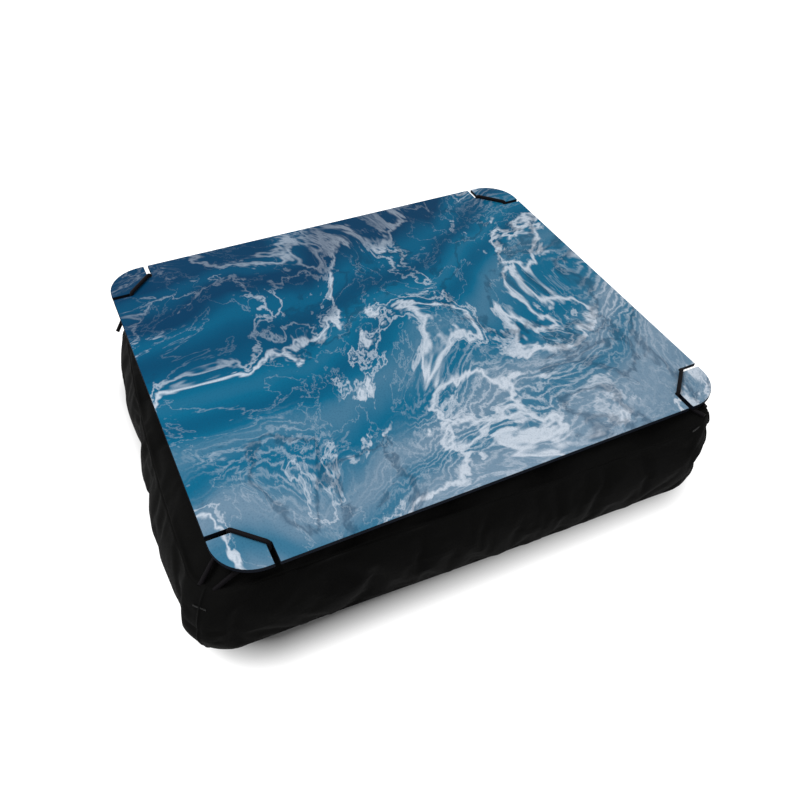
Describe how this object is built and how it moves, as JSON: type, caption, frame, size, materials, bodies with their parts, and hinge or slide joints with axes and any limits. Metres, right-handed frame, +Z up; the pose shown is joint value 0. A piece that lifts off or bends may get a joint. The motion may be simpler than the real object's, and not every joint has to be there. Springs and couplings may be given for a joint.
{
  "type": "lap tray with cushion",
  "caption": "Flat printed board with rounded corners held by corner elastics on a boxed black cushion, for use on the lap or in bed.",
  "frame": {"origin": "middle of the cushion's flat underside, on the surface that it stands on", "axes": "+X along the board's front edge to the right, +Y to the back where the zip is, +Z up out of the board"},
  "size_m": [0.4295, 0.3608, 0.0913],
  "materials": {
    "board": "3 mm fibreboard with dark cut edges",
    "print": "satin printed film",
    "cover": "plain black woven polyester",
    "lining": "thin white nonwoven",
    "filling": "loose white fibre",
    "elastic": "braided black elastic cord",
    "thread": "black sewing thread",
    "zip_tape": "black woven tape",
    "zip_teeth": "moulded black plastic",
    "zip_metal": "black painted die cast metal"
  },
  "bodies": {
    "cushion": {"bottom_panel": "cover", "top_panel": "cover", "front_band": "cover", "left_band": "cover", "right_band": "cover", "rear_band_upper": "cover", "rear_band_lower": "cover", "inner_bag": "lining", "filling": "filling", "elastic_front_left": "elastic", "elastic_front_right": "elastic", "elastic_rear_left": "elastic", "elastic_rear_right": "elastic", "corner_tacks": "thread", "zip_tape_upper": "zip_tape", "zip_tape_lower": "zip_tape", "zip_teeth_upper": "zip_teeth", "zip_teeth_lower": "zip_teeth", "zip_end_stops": "zip_teeth"},
    "board": {"tray_board": "board", "printed_face": "print"},
    "slider": {"zip_slider": "zip_metal"},
    "pull": {"zip_pull": "zip_metal"}
  },
  "joints": [
    {"name": "board_lift", "type": "slide", "parent": "cushion", "child": "board", "axis": [0, 0, 1], "range_m": [0, 0.03], "stiffness_N_per_m": 600, "springref_m": -0.004, "deforming": ["elastic_front_left", "elastic_front_right", "elastic_rear_left", "elastic_rear_right"]},
    {"name": "zip_slide", "type": "slide", "parent": "cushion", "child": "slider", "axis": [0.9989, -0.0471, 0], "range_m": [0, 0.269]},
    {"name": "zip_pull_swing", "type": "hinge", "parent": "slider", "child": "pull", "pos_m": [-0.1263, 0.17715, 0.041], "axis": [0, 0, -1], "range_deg": [0, 175]}
  ]
}
